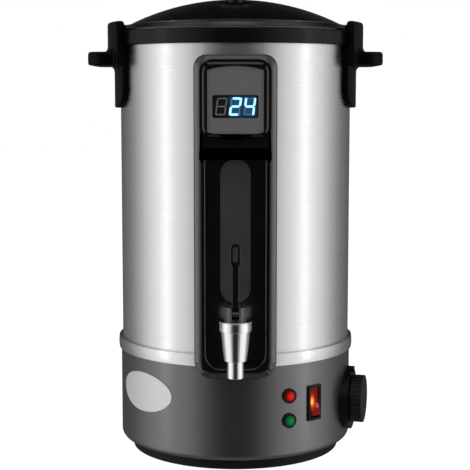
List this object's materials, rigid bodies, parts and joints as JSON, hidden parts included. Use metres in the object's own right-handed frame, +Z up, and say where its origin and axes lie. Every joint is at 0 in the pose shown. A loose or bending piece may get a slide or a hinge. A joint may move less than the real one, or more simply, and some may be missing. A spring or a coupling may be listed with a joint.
{
  "type": "candle wax melter",
  "caption": "Upright steel urn with a heated base that melts candle wax and pours it through a lever tap, under a domed twist-lock lid with a knob.",
  "frame": {"origin": "on the vessel's axis at the level of the surface that it stands on", "axes": "+Z up along the vessel axis, -Y towards the tap and the display, +X to the right seen from the front"},
  "size_m": [0.282, 0.2929, 0.4673],
  "materials": {
    "brushed_shell": "vertical-lit brushed stainless",
    "tank_steel": "satin stainless",
    "collar_black": "satin moulded plastic",
    "band_steel": "polished stainless",
    "base_grey": "satin dark grey paint",
    "plate_steel": "zinc-plated sheet",
    "foot_black": "soft matt foot",
    "screw_steel": "plated screws",
    "handle_black": "fine-textured plastic",
    "panel_black": "gloss moulded plastic",
    "insert_grey": "gloss dark grey strip",
    "bezel_black": "piano black",
    "faceplate_grey": "brushed printed plate left bare",
    "window_smoke": "smoked window",
    "digit_light": "lit segments",
    "module_black": "display block",
    "board_green": "circuit board",
    "badge_silver": "brushed bare badge",
    "lens_red": "red lamp lens",
    "lens_green": "green lamp lens",
    "control_black": "satin moulded plastic",
    "rocker_red": "lit translucent red",
    "brass": "plated contacts",
    "thermostat_steel": "plated sheet",
    "copper": "copper tube",
    "aluminium_cast": "cast and machined",
    "element_steel": "heat-tinted sheath",
    "ceramic": "glazed insulator",
    "chrome_tap": "mirror plating",
    "silicone": "translucent silicone",
    "lid_black": "gloss moulded plastic",
    "lead_red": "insulated leads"
  },
  "bodies": {
    "urn": {"outer_shell": "brushed_shell", "inner_tank": "tank_steel", "top_collar": "collar_black", "clamp_band": "band_steel", "base_housing": "base_grey", "base_plate": "plate_steel", "foot_ring": "foot_black", "base_screws": "screw_steel", "handle_left": "handle_black", "handle_right": "handle_black", "handle_screws": "screw_steel", "front_panel": "panel_black", "panel_insert": "insert_grey", "panel_screws": "screw_steel", "display_bezel": "bezel_black", "display_faceplate": "faceplate_grey", "display_window": "window_smoke", "display_digits": "digit_light", "display_module": "module_black", "display_board": "board_green", "badge_plate": "badge_silver", "red_lamp_lens": "lens_red", "green_lamp_lens": "lens_green", "lamp_holders": "control_black", "switch_housing": "control_black", "switch_terminals": "brass", "dial_ring": "control_black", "thermostat_body": "thermostat_steel", "thermostat_screws": "screw_steel", "thermostat_capillary": "copper", "heat_spreader": "aluminium_cast", "heating_element": "element_steel", "heater_bracket": "plate_steel", "heater_nut": "screw_steel", "tank_stud": "screw_steel", "tie_nut": "screw_steel", "thermal_cutout": "ceramic", "terminal_block": "ceramic", "power_inlet": "control_black", "inlet_pins": "brass", "inlet_screws": "screw_steel", "temperature_probe": "tank_steel", "tap_body": "chrome_tap", "tap_nut": "chrome_tap", "tap_gaskets": "silicone", "tap_bonnet": "control_black", "tap_pivot_pin": "screw_steel", "wiring": "lead_red"},
    "lid_seal": {"lid_gasket": "silicone"},
    "lid": {"lid_shell": "lid_black", "lid_knob": "lid_black", "lid_screw": "screw_steel"},
    "tap_handle": {"tap_lever": "control_black"},
    "tap_valve": {"tap_stem": "screw_steel", "tap_seat_cup": "silicone", "tap_spring": "screw_steel"},
    "dial": {"thermostat_knob": "control_black", "thermostat_shaft": "screw_steel"},
    "rocker": {"switch_rocker": "rocker_red"}
  },
  "joints": [
    {"name": "lid_lift", "type": "slide", "parent": "urn", "child": "lid_seal", "axis": [0, 0, 1], "range_m": [0, 0.12]},
    {"name": "lid_turn", "type": "hinge", "parent": "lid_seal", "child": "lid", "pos_m": [0, 0, 0.41], "axis": [0, 0, 1], "range_deg": [0, 32]},
    {"name": "tap_lever_pull", "type": "hinge", "parent": "urn", "child": "tap_handle", "pos_m": [0, -0.1655, 0.1581], "axis": [1, 0, 0], "range_deg": [0, 35], "stiffness_Nm_per_rad": 0.12, "springref_deg": -14.32},
    {"name": "tap_valve_lift", "type": "slide", "parent": "urn", "child": "tap_valve", "axis": [0, 0, 1], "range_m": [0, 0.00354], "deforming": ["tap_spring"]},
    {"name": "dial_turn", "type": "hinge", "parent": "urn", "child": "dial", "pos_m": [0.11643, -0.02903, 0.0504], "axis": [0.9703, -0.2419, 0], "range_deg": [0, 270]},
    {"name": "rocker_tilt", "type": "hinge", "parent": "urn", "child": "rocker", "pos_m": [0.07013, -0.0824, 0.0603], "axis": [0.7615, 0.6481, 0], "range_deg": [0, 18]}
  ],
  "couplings": [
    {"joint": "tap_lever_pull", "follows": "tap_valve_lift", "rad_per_m": 172.4}
  ]
}
